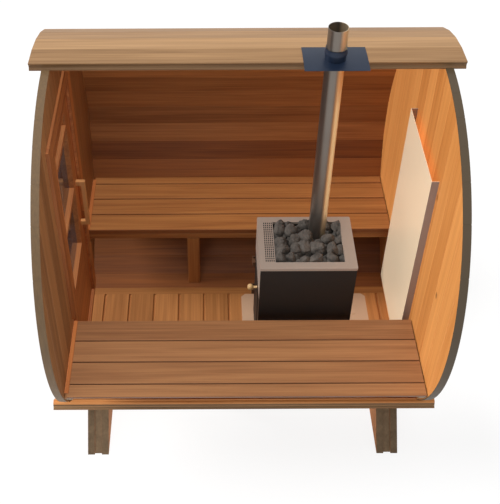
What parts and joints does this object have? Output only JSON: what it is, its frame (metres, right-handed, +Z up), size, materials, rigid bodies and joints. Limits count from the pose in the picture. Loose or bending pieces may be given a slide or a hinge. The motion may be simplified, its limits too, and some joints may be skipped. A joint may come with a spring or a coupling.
{
  "type": "barrel sauna",
  "caption": "Cut-away barrel sauna of jointed staves on cradles, with benches, a slatted floor, a hinged door with a pane, and a wood stove with its flue.",
  "frame": {"origin": "on the ground under the middle of the whole, midway between the ends", "axes": "+X along the barrel from the door end to the stove end, +Y to the closed back, +Z up"},
  "size_m": [1.9, 1.8456, 2.083],
  "materials": {
    "stave_wood": "oiled softwood",
    "wall_wood": "planed softwood",
    "cradle_wood": "sawn plies",
    "floor_wood": "planed slats",
    "bench_wood": "planed boards",
    "door_wood": "planed softwood",
    "door_glass": "clear",
    "hinge_steel": "black satin",
    "stove_steel": "heat-proof matt black",
    "rim_steel": "brushed",
    "stone": "rough split",
    "floor_sheet": "cream enamel",
    "knob_wood": "oiled",
    "flue_steel": "polished stainless",
    "flashing_sheet": "satin blue-grey",
    "shield_sheet": "cream enamel"
  },
  "bodies": {
    "shell": {"roof_staves": "stave_wood", "upper_back_staves": "stave_wood", "lower_back_staves": "stave_wood", "bottom_staves": "stave_wood", "near_lower_staves": "stave_wood", "end_wall": "wall_wood", "door_wall_near": "wall_wood", "door_wall_far": "wall_wood", "door_wall_header": "wall_wood", "door_wall_sill": "wall_wood", "door_end_cradle": "cradle_wood", "stove_end_cradle": "cradle_wood", "floor_slats": "floor_wood", "floor_rails": "floor_wood", "floor_runners": "floor_wood", "rear_bench_boards": "bench_wood", "rear_bench_fascia": "bench_wood", "rear_bench_cleats": "bench_wood", "rear_bench_post": "bench_wood", "front_bench_boards": "bench_wood", "front_bench_fascia": "bench_wood", "front_bench_cleats": "bench_wood", "front_bench_post": "bench_wood", "door_frame": "door_wood", "door_casing": "door_wood", "hinge_frame_halves": "hinge_steel", "stove_body": "stove_steel", "stove_legs": "stove_steel", "stove_rim": "rim_steel", "stove_stones": "stone", "stove_floor_plate": "floor_sheet", "stove_hinge_pins": "hinge_steel", "flue_pipe": "flue_steel", "roof_flashing": "flashing_sheet", "heat_shield": "shield_sheet"},
    "door": {"door_leaf": "door_wood", "door_glass": "door_glass", "hinge_leaf_halves": "hinge_steel", "outer_pull": "door_wood", "inner_pull": "door_wood"},
    "stove_door": {"firebox_door": "stove_steel", "firebox_knob": "knob_wood"}
  },
  "joints": [
    {"name": "door_hinge", "type": "hinge", "parent": "shell", "child": "door", "pos_m": [-0.908, -0.29979, 0.89596], "axis": [0, 0, 1], "range_deg": [0, 110]},
    {"name": "firebox_door_hinge", "type": "hinge", "parent": "shell", "child": "stove_door", "pos_m": [0.068, 0.05666, 0.51906], "axis": [0, 0, -1], "range_deg": [0, 110]}
  ]
}
